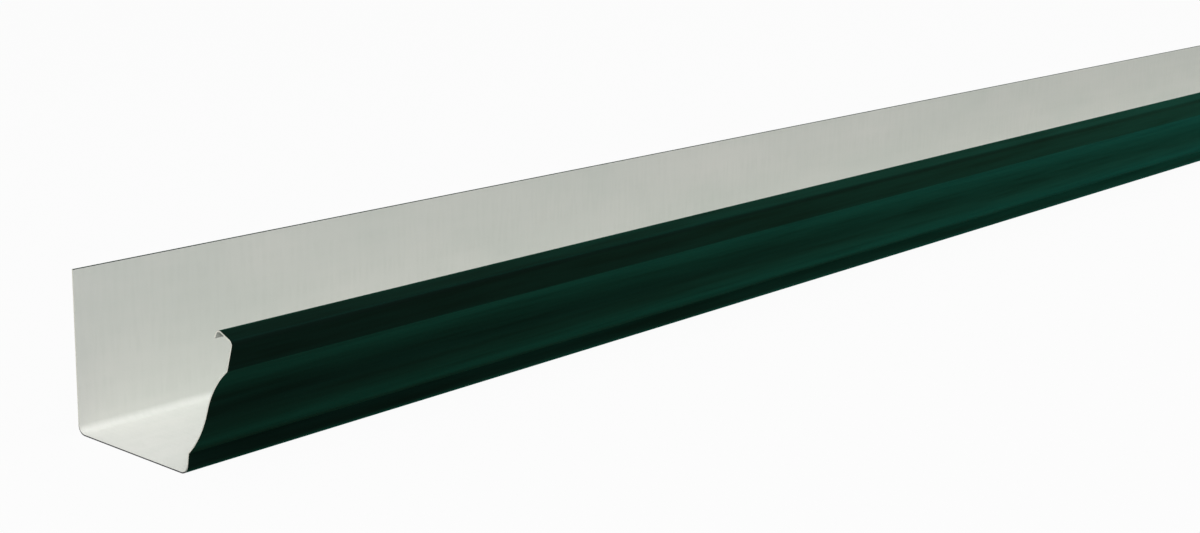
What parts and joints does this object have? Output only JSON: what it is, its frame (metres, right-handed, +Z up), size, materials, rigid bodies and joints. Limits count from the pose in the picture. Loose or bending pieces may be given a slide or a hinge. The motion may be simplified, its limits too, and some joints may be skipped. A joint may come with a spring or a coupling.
{
  "type": "gutter section",
  "caption": "Straight length of ogee (K-style) eaves gutter: flat back, moulded front with a folded lip, open top and plain cut ends, in enamelled sheet.",
  "frame": {"origin": "on the underside of the floor, at mid-length and mid-width", "axes": "+X along the gutter, +Y out of the flat back wall towards the fascia, -Y the moulded front, +Z up"},
  "size_m": [3.048, 0.127, 0.0889],
  "materials": {
    "enamelled_sheet": "gloss"
  },
  "bodies": {
    "root": {"gutter_section": "enamelled_sheet"}
  },
  "joints": []
}
